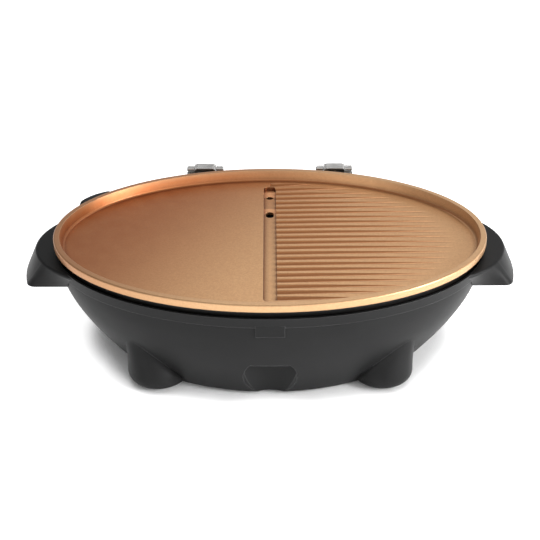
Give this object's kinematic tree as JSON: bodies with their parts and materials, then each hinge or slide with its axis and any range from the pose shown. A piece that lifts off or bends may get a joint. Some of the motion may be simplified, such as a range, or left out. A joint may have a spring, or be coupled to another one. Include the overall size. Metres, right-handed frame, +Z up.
{
  "type": "electric barbecue grill",
  "caption": "Oval tabletop electric grill with a half-flat, half-ridged copper plate that lifts off a grey footed bowl, a drip drawer and hinges for a lid.",
  "frame": {"origin": "middle of the footprint, on the table", "axes": "+X to the right along the long side, +Y to the back where the hinges are, +Z up"},
  "size_m": [0.523, 0.3215, 0.125],
  "materials": {
    "copper_coating": "copper-coloured non-stick, satin",
    "grey_plastic": "fine satin",
    "black_plastic": "matte",
    "black_enamel": "gloss enamel",
    "stainless": "brushed",
    "steel": "zinc plated",
    "heater_sheath": "heat-darkened",
    "brass": "satin",
    "ceramic": "glazed",
    "rubber": "matte"
  },
  "bodies": {
    "base": {"bowl": "grey_plastic", "rim_frame": "grey_plastic", "drawer_rail_left": "black_plastic", "drawer_rail_right": "black_plastic", "reflector_pan": "black_enamel", "hinge_base_left": "stainless", "hinge_base_right": "stainless", "drain_chute": "stainless", "plate_posts": "stainless", "hinge_pin_left": "steel", "hinge_pin_right": "steel", "hinge_screws": "steel", "rim_screws": "steel", "post_screws": "steel", "rail_screws": "steel", "foot_pad_front_left": "rubber", "foot_pad_front_right": "rubber", "foot_pad_back_left": "rubber", "foot_pad_back_right": "rubber"},
    "plate": {"grill_plate": "copper_coating", "heating_element": "heater_sheath", "element_clamps": "stainless", "clamp_screws": "steel", "terminal_pins": "steel", "terminal_insulators": "ceramic", "probe_socket": "brass", "socket_guard": "black_plastic", "guard_screws": "steel"},
    "drawer": {"drip_drawer": "grey_plastic"},
    "leaf_left": {"hinge_leaf_left": "stainless"},
    "leaf_right": {"hinge_leaf_right": "stainless"}
  },
  "joints": [
    {"name": "plate_lift", "type": "slide", "parent": "base", "child": "plate", "axis": [0, 0, 1], "range_m": [0, 0.12]},
    {"name": "drawer_slide", "type": "slide", "parent": "base", "child": "drawer", "axis": [0, -1, 0], "range_m": [0, 0.25]},
    {"name": "leaf_left_hinge", "type": "hinge", "parent": "base", "child": "leaf_left", "pos_m": [-0.076, 0.15275, 0.117], "axis": [-1, 0, 0], "range_deg": [0, 100]},
    {"name": "leaf_right_hinge", "type": "hinge", "parent": "base", "child": "leaf_right", "pos_m": [0.076, 0.15275, 0.117], "axis": [-1, 0, 0], "range_deg": [0, 100]}
  ]
}
